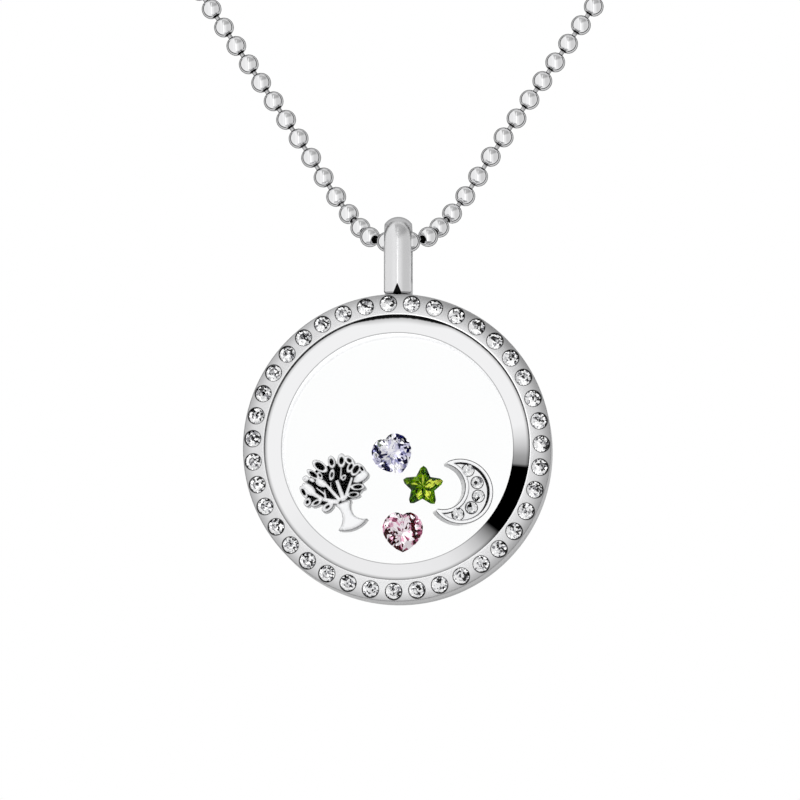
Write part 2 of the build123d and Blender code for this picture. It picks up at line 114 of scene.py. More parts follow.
class Nodes:
    """A node tree, with short calls for its nodes."""

    def __init__(self, tree):
        self.tree = tree

    def node(self, kind, **settings):
        made = self.tree.nodes.new(kind)
        for key, value in settings.items():
            setattr(made, key, value)
        return made

    def link(self, source, target):
        self.tree.links.new(source, target)

    def feed(self, targets, values):
        """Sets sockets to plain values or links them to other sockets."""
        for target, value in zip(targets, values):
            if isinstance(value, bpy.types.NodeSocket):
                self.link(value, target)
            else:
                target.default_value = value

    def math(self, operation, first, second=0.0, third=0.0):
        made = self.node("ShaderNodeMath", operation=operation)
        self.feed(made.inputs, (first, second, third))
        return made.outputs[0]

    def add(self, first, second):
        return self.math("ADD", first, second)

    def less(self, first, second):
        return self.math("SUBTRACT", first, second)

    def most(self, first, second):
        return self.math("MAXIMUM", first, second)

    def times(self, first, *others):
        for other in others:
            first = self.math("MULTIPLY", first, other)
        return first

    def share(self, value, whole):
        return self.math("DIVIDE", value, whole)

    def inverse(self, value):
        return self.less(1.0, value)

    def is_over(self, value, limit):
        return self.math("GREATER_THAN", value, limit)

    def is_under(self, value, limit):
        return self.math("LESS_THAN", value, limit)

    def is_count(self, value, count):
        """One where a counted value is this whole number."""
        return self.math("COMPARE", value, count, 0.5)

    def reach(self, across, up):
        """Length of the way across and up."""
        return self.math("SQRT", self.add(self.times(across, across), self.times(up, up)))

    def position(self):
        return self.node("ShaderNodeTexCoord").outputs["Object"]

    def split(self, vector):
        made = self.node("ShaderNodeSeparateXYZ")
        self.link(vector, made.inputs[0])
        return made.outputs

    def join(self, x, y, z):
        made = self.node("ShaderNodeCombineXYZ")
        self.feed(made.inputs, (x, y, z))
        return made.outputs[0]

    def noise(self, vector, scale, detail=3.0, roughness=0.5):
        made = self.node("ShaderNodeTexNoise")
        self.link(vector, made.inputs["Vector"])
        made.inputs["Scale"].default_value = scale
        made.inputs["Detail"].default_value = detail
        made.inputs["Roughness"].default_value = roughness
        return made.outputs["Fac"]

    def span(self, value, low, high, to_low, to_high, smooth=False):
        """Maps a value's range to another, held at the ends."""
        made = self.node("ShaderNodeMapRange")
        made.interpolation_type = "SMOOTHSTEP" if smooth else "LINEAR"
        self.feed(made.inputs, (value, low, high, to_low, to_high))
        return made.outputs[0]

    def beyond(self, value, low, high, smooth=False):
        """A mask that is one past a soft edge."""
        return self.span(value, low, high, 0, 1, smooth)

    def within(self, value, low, high, smooth=False):
        """A mask that is one before a soft edge."""
        return self.span(value, low, high, 1, 0, smooth)

    def mix(self, factor, first, second):
        """Mixes two colours or directions."""
        made = self.node("ShaderNodeMix", data_type="RGBA")
        self.feed([made.inputs[i] for i in COLOUR_SOCKETS], (factor, first, second))
        return made.outputs[COLOUR_RESULT]

    def blend(self, factor, first, second):
        """Mixes two numbers."""
        made = self.node("ShaderNodeMix")
        self.feed([made.inputs[i] for i in NUMBER_SOCKETS], (factor, first, second))
        return made.outputs[NUMBER_RESULT]

    def bump(self, height, strength, distance):
        made = self.node("ShaderNodeBump")
        made.inputs["Strength"].default_value = strength
        made.inputs["Distance"].default_value = distance
        self.link(height, made.inputs["Height"])
        return made.outputs["Normal"]

    def dot(self, first, second):
        made = self.node("ShaderNodeVectorMath", operation="DOT_PRODUCT")
        self.feed(made.inputs, (first, second))
        return made.outputs["Value"]

    def cells(self, vector, scale=1.0):
        """One random number for each cell of a Voronoi pattern."""
        made = self.node("ShaderNodeTexVoronoi")
        self.link(vector, made.inputs["Vector"])
        made.inputs["Scale"].default_value = scale
        return self.split(made.outputs["Color"])[0]

    def ramp(self, value, *stops):
        """A level that runs in straight lines through (value, level) stops."""
        low = stops[0][0]
        size = stops[-1][0] - low
        made = self.node("ShaderNodeValToRGB")
        self.link(self.beyond(value, low, low + size), made.inputs[0])
        elements = made.color_ramp.elements
        while len(elements) < len(stops):
            elements.new(0.5)
        for element, (at, level) in zip(elements, stops):
            element.position = (at - low) / size
            element.color = (level, level, level, 1)
        return made.outputs[0]

    def flat_normal(self):
        return self.node("ShaderNodeNewGeometry").outputs["True Normal"]

    def rounded(self, radius):
        """The normal of a surface with its edges rounded."""
        made = self.node("ShaderNodeBevel", samples=BEVEL_SAMPLES)
        made.inputs["Radius"].default_value = radius
        return made.outputs[0]


class Shader(Nodes):
    """A material's node tree."""

    def __init__(self, name):
        self.material = bpy.data.materials.new(name)
        self.material.use_nodes = True
        super().__init__(self.material.node_tree)
        self.principled = self.tree.nodes["Principled BSDF"]

    def set(self, **values):
        inputs = [self.principled.inputs[key.replace("_", " ")] for key in values]
        self.feed(inputs, values.values())


WHITE = (1, 1, 1, 1)
BLUE_SHARE = 1.01


def grey(level):
    """A level of grey with the least touch of blue."""
    return (level, level, level * BLUE_SHARE, 1.0)


# Marks in the metals, as noise scale, detail and roughness
STEEL_CLOUD = (300.0, 3.0, 0.5)
STEEL_MARKS = (4000.0, 2.0, 0.5)
SATIN_CLOUD = (260.0, 3.0, 0.5)
SATIN_GRAIN = (3.0, 4.0, 0.6)
SILVER_MARKS = (3000.0, 3.0, 0.5)
TREE_CLOUD = (900.0, 3.0, 0.5)
MOON_CLOUD = (1200.0, 3.0, 0.6)
GLASS_WAVE = (120.0, 2.0, 0.5)
STREAKS = (1.0, 2.0, 0.5)
NOISE_MIDDLE = (0.3, 0.7)

# Bumps, as strength and height in metres
SATIN_BUMP = (0.05, 0.00002)
STEEL_BUMP = (0.03, 0.00001)
GLASS_BUMP = (0.01, 0.00001)
TREE_BUMP = (0.10, 0.00003)
MOON_BUMP = (0.06, 0.00002)

# Stones of the ring, clockwise from the top
STONE_COUNT = 39
STONE_RING = case_radius - 0.97 * MM
STONE_RADIUS = 0.775 * MM
STONE_PITCH = 2 * math.pi / STONE_COUNT
STONE_TURN = math.radians(1.25) + STONE_PITCH / 2
SEAT_OUTSIDE = (STONE_RADIUS + 0.05 * MM, STONE_RADIUS + 0.10 * MM)
SEAT_INSIDE = (STONE_RADIUS - 0.12 * MM, STONE_RADIUS - 0.08 * MM)
stone_names = [f"bezel_stone_{i:02d}" for i in range(1, STONE_COUNT + 1)]

# Edges on the ring's face, by radius
CONE_EDGE = (lip_radius - 0.005 * MM, lip_radius + 0.015 * MM)
LIP_EDGE = (lip_radius + 0.06 * MM, lip_radius + 0.12 * MM)
OPENING_EDGE = (window_radius + 0.05 * MM, window_radius + 0.11 * MM)
RIM_EDGE = (case_radius - 1.1 * MM, case_radius)
CONE_MARGIN = 0.3 * MM
CONE_SLOPES = (-0.97, -0.2)
ALONG_CONE = 0.97

# The lip's painted highlight and the painted shadow line under it, by the cosine of the turn from the top
LIP_HIGHLIGHT_FADE = (-0.6, 0.2, 0.3, 1.0)
LINE_MIDDLE = math.radians(2)
LINE_WIDTH = (0.92, 0.99, 0.16 * MM, 0.34 * MM)
LINE_FADE = (-0.3, 0.6, 0.35, 1.0)
LINE_EDGE = (0.75, 1.05)
LINE_SHADE = (0.9, 2.6)
STREAK_TURNS = 40.0
STREAK_RINGS = 4000.0
STREAK_DEPTH = 0.08

# The ring's grain runs round it
GRAIN_TURNS = 3.0
GRAIN_RINGS = 9000.0
CLOUD_SHARE = 0.6
GRAIN_SHARE = 0.4
SATIN_ROUGH = (0.26, 0.40)
LIP_POLISH = 0.7

# Grey levels on the ring
SATIN_LEVELS = (0.68, 0.92)
CONE_LEVELS = (0.93, 0.98)
RIM_SHADE_LEVEL = 0.55
SHADE_LEVEL = 0.62
OPENING_LEVEL = 0.50
SEAT_LEVEL = 0.95
SEAT_SHADE_LEVEL = 0.05
SHADOW_LINE_LEVEL = 0.006


def ring_coordinates(s):
    """Radius from the locket's axis, and turn round it in radians from the top."""
    x, _, z = s.split(s.position())
    up = s.less(z, centre.z)
    return s.reach(x, up), s.math("ARCTAN2", x, up)


def stone_coordinates(s):
    """Turn of the nearest bezel stone, and the place across and up from its middle."""
    turn = ring_coordinates(s)[1]
    x, _, z = s.split(s.position())
    wrapped = s.math("WRAP", s.less(turn, STONE_TURN), STONE_PITCH / 2, -STONE_PITCH / 2)
    middle = s.less(turn, wrapped)
    across = s.less(x, s.times(s.math("SINE", middle), STONE_RING))
    high = s.add(centre.z, s.times(s.math("COSINE", middle), STONE_RING))
    return middle, across, s.less(z, high)


def cone_normal(s):
    """The cone's exact normal, and a mask of one where a face lies along it."""
    slopes = []
    for face in nodes["bezel"].data.polygons:
        out = math.hypot(face.center.x - centre.x, face.center.z - centre.z)
        on_cone = window_radius + CONE_MARGIN < out < lip_radius - CONE_MARGIN
        if on_cone and CONE_SLOPES[0] < face.normal.y < CONE_SLOPES[1]:
            slopes.append(face.normal.y)
    slope = sum(slopes) / len(slopes)
    x, _, z = s.split(s.position())
    x = s.less(x, centre.x)
    z = s.less(z, centre.z)
    inward = s.share(-math.sqrt(1 - slope**2), s.reach(x, z))
    turned = s.node("ShaderNodeVectorTransform", vector_type="NORMAL")
    turned.convert_from = "OBJECT"
    turned.convert_to = "WORLD"
    s.link(s.join(s.times(x, inward), slope, s.times(z, inward)), turned.inputs[0])
    normal = turned.outputs[0]
    return normal, s.is_over(s.dot(s.flat_normal(), normal), ALONG_CONE)


def satin_bezel():
    """Satin face with painted shade at the seat edges and the outer rim, a painted highlight on the lip
    over a painted black shadow line, and a mirror-bright cone.
    """
    s = Shader("bezel_satin_steel")
    along = s.split(s.position())[1]
    radius, turn = ring_coordinates(s)
    _, across, up = stone_coordinates(s)
    seat_distance = s.reach(across, up)
    # Painted shade: a dark ring in the gap round each stone's seat
    seat_shade = s.times(s.within(seat_distance, *SEAT_OUTSIDE), s.beyond(seat_distance, *SEAT_INSIDE))
    seat = s.within(seat_distance, *SEAT_INSIDE)
    cone = s.within(radius, *CONE_EDGE)
    # Painted highlight: the lip is white, brightest towards the top of the ring
    lip = s.times(s.within(radius, *LIP_EDGE), s.inverse(cone), s.span(s.math("COSINE", turn), *LIP_HIGHLIGHT_FADE))
    opening_edge = s.times(cone, s.within(radius, *OPENING_EDGE))
    # Painted shadow line under the lip, wider and blacker towards the top of the ring
    towards_top = s.math("COSINE", s.less(turn, LINE_MIDDLE))
    line_width = s.span(towards_top, *LINE_WIDTH, smooth=True)
    under_lip = s.share(s.less(lip_radius, radius), line_width)
    streaks = s.noise(s.join(s.times(turn, STREAK_TURNS), s.times(radius, STREAK_RINGS), 0.0), *STREAKS)
    frayed = s.add(under_lip, s.span(streaks, *NOISE_MIDDLE, -STREAK_DEPTH, STREAK_DEPTH))
    line = s.times(s.within(frayed, *LINE_EDGE), cone, s.span(towards_top, *LINE_FADE))
    shade = s.times(s.within(under_lip, *LINE_SHADE, smooth=True), cone)
    grain_place = (s.times(turn, GRAIN_TURNS), s.times(radius, GRAIN_RINGS), s.times(along, GRAIN_RINGS))
    grain = s.noise(s.join(*grain_place), *SATIN_GRAIN)
    cloud = s.noise(s.position(), *SATIN_CLOUD)
    marks = s.add(s.times(cloud, CLOUD_SHARE), s.times(grain, GRAIN_SHARE))
    colour = s.mix(marks, *map(grey, SATIN_LEVELS))
    # Painted shade: the face darkens towards its rounded outer edge
    colour = s.mix(s.beyond(radius, *RIM_EDGE, smooth=True), colour, grey(RIM_SHADE_LEVEL))
    colour = s.mix(lip, colour, grey(1.0))
    colour = s.mix(cone, colour, s.mix(grain, *map(grey, CONE_LEVELS)))
    for mask, level in (
        (shade, SHADE_LEVEL),
        (opening_edge, OPENING_LEVEL),
        (seat, SEAT_LEVEL),
        (seat_shade, SEAT_SHADE_LEVEL),
        (line, SHADOW_LINE_LEVEL),
    ):
        colour = s.mix(mask, colour, grey(level))
    rough = s.span(grain, *NOISE_MIDDLE, *SATIN_ROUGH)
    rough = s.times(rough, s.inverse(s.times(lip, LIP_POLISH)), s.inverse(cone))
    exact, on_cone = cone_normal(s)
    normal = s.mix(s.times(cone, on_cone), s.bump(grain, *SATIN_BUMP), exact)
    s.set(Base_Color=colour, Metallic=1.0, Roughness=rough, Normal=normal)
    return s.material


# The back's inside, seen through the glass, grey with a painted glow
INSIDE_EDGE = (window_radius + 0.72 * MM, window_radius + 0.72 * MM + 0.03 * MM)
INSIDE_BACK = case_back_y - 0.02 * MM
INSIDE_LEVEL = 0.35
INSIDE_PAINTED_GLOW = 0.86

# Painted dark three-cornered reflection at the bail's foot
BAIL_REFLECTION_TOP = case_top + 1.2 * MM
BAIL_REFLECTION_BACK = (HANG_PLANE_Y - 1.6 * MM, HANG_PLANE_Y - 1.6 * MM + 0.01 * MM)
BAIL_REFLECTION_SLOPE = 0.42
BAIL_REFLECTION_EDGE = (0.0, 0.03 * MM)
BAIL_REFLECTION_LEVEL = 0.006

# The bail's top is brushed softer than its foot
BAIL_SOFTNESS = (case_top + 3.0 * MM, case_top + 4.8 * MM, 0.05, 0.12)
CASE_LEVELS = (0.80, 0.86)
CASE_ROUGH = (0.08, 0.16)
CASE_EDGE_TINT = 0.45


def case_steel():
    """Polished back and bail, with a painted glow on the inside behind the glass and a painted dark
    reflection at the bail's foot.
    """
    s = Shader("case_steel")
    radius = ring_coordinates(s)[0]
    x, y, z = s.split(s.position())
    cloud = s.noise(s.position(), *STEEL_CLOUD)
    fine = s.noise(s.position(), *STEEL_MARKS)
    inside = s.times(s.within(radius, *INSIDE_EDGE), s.is_under(y, INSIDE_BACK))
    over_case = s.is_over(z, case_top)
    # Painted reflection: a black triangle on the bail's foot, widening downwards
    wide = s.less(s.times(s.less(BAIL_REFLECTION_TOP, z), BAIL_REFLECTION_SLOPE), s.math("ABSOLUTE", x))
    painted_reflection = s.times(s.beyond(wide, *BAIL_REFLECTION_EDGE), s.within(y, *BAIL_REFLECTION_BACK), over_case)
    colour = s.mix(cloud, *map(grey, CASE_LEVELS))
    # Painted glow: the inside behind the glass gives off light of its own
    colour = s.mix(inside, colour, grey(INSIDE_LEVEL))
    colour = s.mix(painted_reflection, colour, grey(BAIL_REFLECTION_LEVEL))
    softness = s.times(s.span(z, *BAIL_SOFTNESS, smooth=True), over_case)
    s.set(
        Base_Color=colour,
        Metallic=1.0,
        Roughness=s.add(s.span(fine, *NOISE_MIDDLE, *CASE_ROUGH), softness),
        Normal=s.bump(fine, *STEEL_BUMP),
        Specular_Tint=grey(CASE_EDGE_TINT),
        Emission_Color=grey(1.0),
        Emission_Strength=s.times(inside, INSIDE_PAINTED_GLOW),
    )
    s.material.cycles.emission_sampling = "NONE"
    return s.material


CLOUD_CONTRAST = (0.96, 1.03)


def polished_steel(name, level, rough, edge=1.0):
    """Polished metal with faint handling marks, and a tint for its edges."""
    s = Shader(name)
    cloud = s.noise(s.position(), *STEEL_CLOUD)
    fine = s.noise(s.position(), *STEEL_MARKS)
    s.set(
        Base_Color=s.mix(cloud, *(grey(level * contrast) for contrast in CLOUD_CONTRAST)),
        Metallic=1.0,
        Roughness=s.span(fine, *NOISE_MIDDLE, *rough),
        Normal=s.bump(fine, *STEEL_BUMP),
        Specular_Tint=grey(edge),
    )
    return s.material


GLASS_COLOUR = (0.985, 0.99, 0.99, 1)
GLASS_IOR = 1.45
GLASS_GLOSS = 0.12


def window_glass():
    """Clear coated glass with the faintest surface unevenness and hardly any mirror."""
    s = Shader("window_glass")
    wave = s.noise(s.position(), *GLASS_WAVE)
    s.set(
        Base_Color=s.mix(wave, GLASS_COLOUR, WHITE),
        Roughness=0.0,
        IOR=GLASS_IOR,
        Transmission_Weight=1.0,
        Specular_Tint=grey(GLASS_GLOSS),
        Normal=s.bump(wave, *GLASS_BUMP),
    )
    return s.material


# Painted reflections in the cut stones' facets, in each stone's tint: dark, middle, pale and clear
CLEAR_PAINTED_REFLECTIONS = ((0.0, 0.0, 0.0), (0.06, 0.06, 0.07), (0.45, 0.46, 0.47), (1.0, 1.0, 1.0))
LAVENDER_TINT_AND_REFLECTIONS = ((0.0, 0.0, 0.001), (0.05, 0.05, 0.16), (0.42, 0.40, 0.66), (0.94, 0.92, 1.0))
PINK_TINT_AND_REFLECTIONS = ((0.001, 0.0, 0.0), (0.10, 0.006, 0.022), (0.70, 0.21, 0.36), (1.0, 0.82, 0.90))
GREEN_TINT_AND_REFLECTIONS = ((0.0001, 0.0025, 0.0), (0.003, 0.030, 0.0), (0.022, 0.10, 0.0), (0.42, 0.58, 0.006))

# Their gloss, and how strongly they bend the light
CLEAR_GLOSS = (0.35, 0.35, 0.35, 1)
LAVENDER_GLOSS = (0.25, 0.25, 0.35, 1)
PINK_GLOSS = (0.35, 0.2, 0.25, 1)
GREEN_GLOSS = (0.06, 0.16, 0.01, 1)
TINTED_IOR = 1.5
CRYSTAL_IOR = 1.8
MOON_CRYSTAL_IOR = 1.6
FACING_BACK = 0.1

# Painted reflections in the hearts' facets, dark to the right and to the lower left
HEART_FAN = (3.6, 4.4)
HEART_DARK = 0.05
HEART_DARK_SIDES = ((80, 0.50), (-120, 0.48))
HEART_SIDE = (0.35, 0.50)
HEART_SHARES = (0.12, 0.36)
HEART_GLINT_SCALE = 7.0
HEART_WHITE_GLINTS = 0.85
HEART_DARK_GLINTS = 0.05
LAVENDER_SEED = 3.0
PINK_SEED = 8.0

# Painted reflections in the star's facets, darker on its steep edges
STAR_RISE = 0.05
STAR_FAN = (3.0, 3.4)
STAR_SEED = 4.0
STAR_DARK = 0.10
STAR_STEEP_DARK = 0.34
STAR_SHARES = (0.20, 0.56)
STEEP = (0.55, 0.88)

# Painted reflections in the facets of the round stones of the ring and the moon
CRYSTAL_SCALE = 4.4
CRYSTAL_SEEDS = 7.0
CRYSTAL_DARK = -0.06
CRYSTAL_DARK_SIDE = (50, 0.40)
CRYSTAL_SIDE = (-0.3, 0.0)
CRYSTAL_SHARES = (0.14, 0.30)
MOON_CRYSTAL_SCALE = 3600.0
MOON_CRYSTAL_DARK = 0.13
MOON_CRYSTAL_SHARES = (0.08, 0.16)


def cut_glass(s, colour, ior, gloss=CLEAR_GLOSS, front_only=False):
    """A cut stone, its tint and painted facet reflections laid on where the light goes in."""
    faces = s.node("ShaderNodeNewGeometry").outputs
    leaving = faces["Backfacing"]
    if front_only:
        leaving = s.most(leaving, s.is_over(s.split(faces["True Normal"])[1], FACING_BACK))
    colour = s.mix(leaving, colour, WHITE)
    s.set(Base_Color=colour, Roughness=0.0, IOR=ior, Transmission_Weight=1.0, Specular_Tint=gloss)
    return s.material


def painted_facet_reflections(s, cell, dark_share, tones, shares):
    """Paints each facet one of four reflections by its random number: dark, middle, pale or clear, in the
    stone's tint.
    """
    dark, middle, pale, clear = tones
    middle_share, pale_share = shares
    colour = (*clear, 1)
    for tone, extra in ((pale, pale_share), (middle, middle_share), (dark, 0.0)):
        colour = s.mix(s.is_under(cell, s.add(dark_share, extra)), colour, (*tone, 1))
    return colour


def round_facets(s, across, up, fan, seed):
    """Facets that fan out from a stone's middle."""
    turns, rings = fan
    turn = s.math("ARCTAN2", across, up)
    return s.cells(s.join(s.times(turn, turns), s.times(s.reach(across, up), rings), seed))


def towards(s, across, up, degrees, edge):
    """How far a point of a stone lies towards one side, from nought to one."""
    angle = math.radians(degrees)
    side = s.add(s.times(across, math.sin(angle)), s.times(up, math.cos(angle)))
    return s.beyond(side, *edge)


def gem_coordinates(s, node, rise=0.0):
    """Place across and up from a loose stone's middle, in halves of its width."""
    low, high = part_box(node)
    half = (high.x - low.x) / 2
    x, _, z = s.split(s.position())
    across = s.share(s.less(x, (low.x + high.x) / 2), half)
    up = s.share(s.less(z, (low.z + high.z) / 2 - rise * half), half)
    return across, up


def heart_gem(name, node, tones, gloss, seed):
    """A tinted stone with painted facet reflections that flash white, tinted or nearly black."""
    s = Shader(name)
    across, up = gem_coordinates(s, node)
    cell = round_facets(s, across, up, HEART_FAN, seed)
    dark = HEART_DARK
    for degrees, share in HEART_DARK_SIDES:
        dark = s.add(dark, s.times(towards(s, across, up, degrees, HEART_SIDE), share))
    colour = painted_facet_reflections(s, cell, dark, tones, HEART_SHARES)
    # Painted glints: small white and black flecks over the facets
    glints = s.cells(s.join(across, up, seed), HEART_GLINT_SCALE)
    colour = s.mix(s.is_over(glints, HEART_WHITE_GLINTS), colour, (*tones[-1], 1))
    colour = s.mix(s.is_under(glints, HEART_DARK_GLINTS), colour, (*tones[0], 1))
    return cut_glass(s, colour, TINTED_IOR, gloss)


def star_gem():
    """A peridot star with painted reflections: dark edges and yellow-green flashes."""
    s = Shader("green_crystal")
    across, up = gem_coordinates(s, "star_green", STAR_RISE)
    cell = round_facets(s, across, up, STAR_FAN, STAR_SEED)
    steepness = s.within(s.times(s.split(s.flat_normal())[1], -1.0), *STEEP)
    dark = s.add(STAR_DARK, s.times(steepness, STAR_STEEP_DARK))
    return cut_glass(s, painted_facet_reflections(s, cell, dark, GREEN_TINT_AND_REFLECTIONS, STAR_SHARES), TINTED_IOR, GREEN_GLOSS)


def clear_stone():
    """A round stone of the ring with painted reflections, white at the lower left and broken by black to
    the upper right.
    """
    s = Shader("clear_crystal")
    middle, across, up = stone_coordinates(s)
    across = s.share(across, STONE_RADIUS)
    up = s.share(up, STONE_RADIUS)
    cell = s.cells(s.join(across, up, s.times(middle, CRYSTAL_SEEDS)), CRYSTAL_SCALE)
    degrees, share = CRYSTAL_DARK_SIDE
    dark = s.add(CRYSTAL_DARK, s.times(towards(s, across, up, degrees, CRYSTAL_SIDE), share))
    colour = painted_facet_reflections(s, cell, dark, CLEAR_PAINTED_REFLECTIONS, CRYSTAL_SHARES)
    return cut_glass(s, colour, CRYSTAL_IOR, front_only=True)


def moon_stone():
    """A small clear stone with painted reflections as black spots."""
    s = Shader("moon_crystal")
    cell = s.cells(s.position(), MOON_CRYSTAL_SCALE)
    colour = painted_facet_reflections(s, cell, MOON_CRYSTAL_DARK, CLEAR_PAINTED_REFLECTIONS, MOON_CRYSTAL_SHARES)
    return cut_glass(s, colour, MOON_CRYSTAL_IOR, front_only=True)


# Faces of the flat charms, by the cosine of their angle to the front
FACES_FRONT = -0.8
SAME_PLANE = 0.9999
FLANK = (0.3, 0.5)
OUTLINE = (0.955, 0.995)

# The tree: its black ground by depth in millimetres, and its rounded edges
GROUND_TOP = (0.10, 0.24)
GROUND_FOOT = (0.31, 0.33)
TREE_OUTLINE_RADIUS = 0.13 * MM
TREE_EDGE_RADIUS = 0.55 * MM
TREE_LEVELS = (0.93, 1.0)
TREE_EDGE_SHADE_LEVEL = 0.30
TREE_FLANK_SHADE_LEVEL = 0.32
GROUND_LEVEL = 0.002
TREE_ROUGH = (0.10, 0.22)
GROUND_ROUGH = 0.4

# The moon's own directions, its two rounds and those of its bed
MOON_RIGHT = Vector((0.9494, 0.2112, -0.2325))
MOON_UP = Vector((0.2192, 0.0846, 0.9720))
MOON_RADIUS = 3.2 * MM
MOON_BITE_SHIFT = 1.85 * MM
MOON_BITE_RADIUS = 2.21 * MM
BED_RADIUS = 2.85 * MM
BED_BITE_RADIUS = 2.57 * MM
BED_DEPTH = (0.2, 0.25)
BED_SLACK = 0.02 * MM
MOON_EDGE_RADIUS = 0.20 * MM

# The moon's painted shade outlines; the bed's painted shadow line is thicker under the rim's upper right
RIM_OUTLINE = (MOON_RADIUS - 0.09 * MM, MOON_RADIUS - 0.07 * MM)
BITE_OUTLINE = (MOON_BITE_RADIUS + 0.07 * MM, MOON_BITE_RADIUS + 0.09 * MM)
BED_SHADOW_WIDTH = (0.5 * MM, 3.0 * MM, 0.07 * MM, 0.20 * MM)
BED_BITE_SHADOW = 0.09 * MM
BED_SHADOW_EDGE = (0, 0.02 * MM)

# The moon's stones and their seats
moon_stone_names = [f"moon_stone_{i}" for i in range(1, 6)]
moon_stone_low, moon_stone_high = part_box("moon_stone_3")
MOON_STONE_RADIUS = (moon_stone_high.z - moon_stone_low.z) / 2
MOON_SEAT_RING = (MOON_STONE_RADIUS + 0.06 * MM, MOON_STONE_RADIUS + 0.09 * MM)
MOON_SEAT = (MOON_STONE_RADIUS - 0.03 * MM, MOON_STONE_RADIUS)

# Grey levels on the moon
MOON_RIM_LEVEL = 0.99
BED_LEVELS = (0.80, 0.99)
RIM_EDGE_SHADE_LEVEL = 0.12
BED_SHADOW_LEVEL = 0.01
MOON_FLANK_SHADE_LEVEL = 0.40
MOON_SEAT_SHADE_LEVEL = 0.06
MOON_SEAT_LEVEL = 0.99
MOON_ROUGH = (0.08, 0.18)


def charm_levels(node):
    """A flat charm's front direction and the place of its highest face along it."""
    mesh = nodes[node].data
    areas = np.array([p.area for p in mesh.polygons])
    normals = np.array([tuple(p.normal) for p in mesh.polygons])
    centres = np.array([tuple(p.center) for p in mesh.polygons])
    widest = normals[np.argmax(areas * (normals[:, 1] < FACES_FRONT))]
    flat = (normals @ widest) > SAME_PLANE
    return Vector(widest), float((centres[flat] @ widest).max())


def depth_and_flank(s, node):
    """How far a point lies under a charm's highest face in millimetres, and a mask of its flanks."""
    face, top = charm_levels(node)
    depth = s.times(s.less(top, s.dot(s.position(), face)), 1 / MM)
    return depth, s.within(s.dot(s.flat_normal(), face), *FLANK)


def rounded_bump(s, height, bump, normal):
    """A bump over a rounded normal."""
    bumped = s.bump(height, *bump)
    s.link(normal, bumped.node.inputs["Normal"])
    return bumped


def tree_silver():
    """Polished rounded relief over a jet black ground, with painted shade as grey outlines and flanks."""
    s = Shader("tree_silver")
    depth, flank = depth_and_flank(s, "tree_charm")
    ground = s.times(s.beyond(depth, *GROUND_TOP), s.within(depth, *GROUND_FOOT))
    fine = s.noise(s.position(), *SILVER_MARKS)
    cloud = s.noise(s.position(), *TREE_CLOUD)
    outline = s.within(s.dot(s.rounded(TREE_OUTLINE_RADIUS), s.flat_normal()), *OUTLINE)
    colour = s.mix(cloud, *map(grey, TREE_LEVELS))
    # Painted shade: grey along the rounded edges and on the side walls
    for mask, level in ((outline, TREE_EDGE_SHADE_LEVEL), (flank, TREE_FLANK_SHADE_LEVEL), (ground, GROUND_LEVEL)):
        colour = s.mix(mask, colour, grey(level))
    s.set(
        Base_Color=colour,
        Metallic=1.0,
        Roughness=s.add(s.span(fine, *NOISE_MIDDLE, *TREE_ROUGH), s.times(ground, GROUND_ROUGH)),
        Normal=rounded_bump(s, cloud, TREE_BUMP, s.rounded(TREE_EDGE_RADIUS)),
    )
    return s.material


def moon_stone_distance(s):
    """Distance across the moon's face to the nearest of its stones' middles."""
    nearest = 1.0
    x, _, z = s.split(s.position())
    for name in moon_stone_names:
        low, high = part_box(name)
        across = s.less(x, (low.x + high.x) / 2)
        up = s.less(z, (low.z + high.z) / 2)
        nearest = s.math("MINIMUM", nearest, s.reach(across, up))
    return nearest


def moon_place(s):
    """Place on the moon's face, to its right and up from the middle of its outer round."""
    corners = [corner.co for corner in nodes["moon_charm"].data.vertices]
    right_end = max(corner.dot(MOON_RIGHT) for corner in corners)
    heights = [corner.dot(MOON_UP) for corner in corners]
    right = s.less(s.dot(s.position(), MOON_RIGHT), right_end - MOON_RADIUS)
    up = s.less(s.dot(s.position(), MOON_UP), (max(heights) + min(heights)) / 2)
    return right, up


